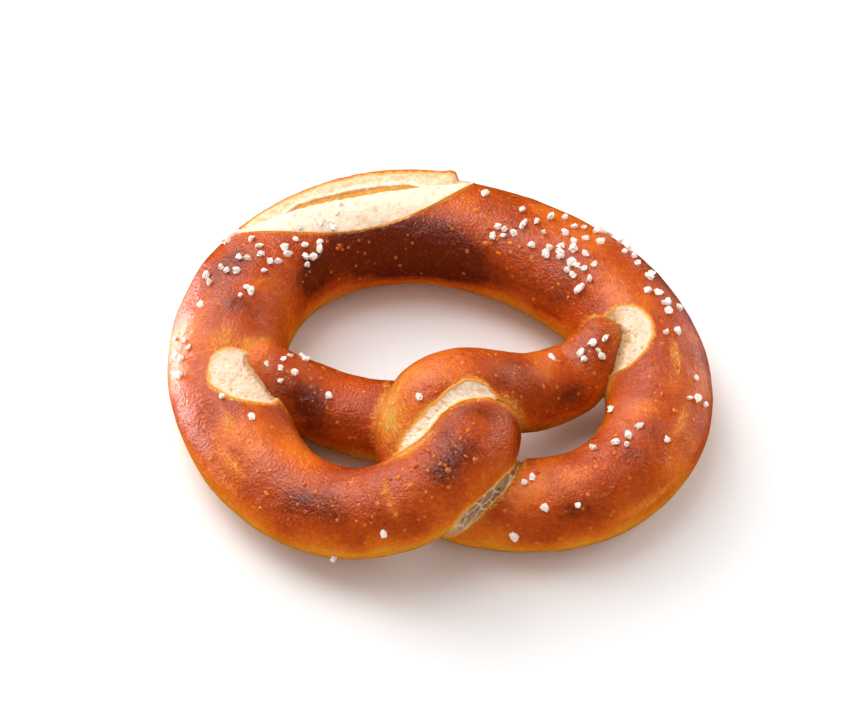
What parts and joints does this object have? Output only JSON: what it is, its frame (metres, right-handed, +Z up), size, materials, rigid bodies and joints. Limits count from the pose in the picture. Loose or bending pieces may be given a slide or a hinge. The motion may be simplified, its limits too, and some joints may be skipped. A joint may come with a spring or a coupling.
{
  "type": "soft pretzel",
  "caption": "Soft baked pretzel: one thick rope of dough, twisted once at the front, its tips fused to the ring's shoulders, the crust burst open along the back.",
  "frame": {"origin": "centre of the box round the pretzel, at the surface it rests on", "axes": "+X across the pretzel from the left shoulder to the right one, +Y from the knot towards the burst at the back, +Z up"},
  "size_m": [0.149, 0.1294, 0.039],
  "materials": {
    "crust": "baked brown crust with a soft shine, pale crumb where it burst"
  },
  "bodies": {
    "root": {"pretzel": "crust"}
  },
  "joints": []
}
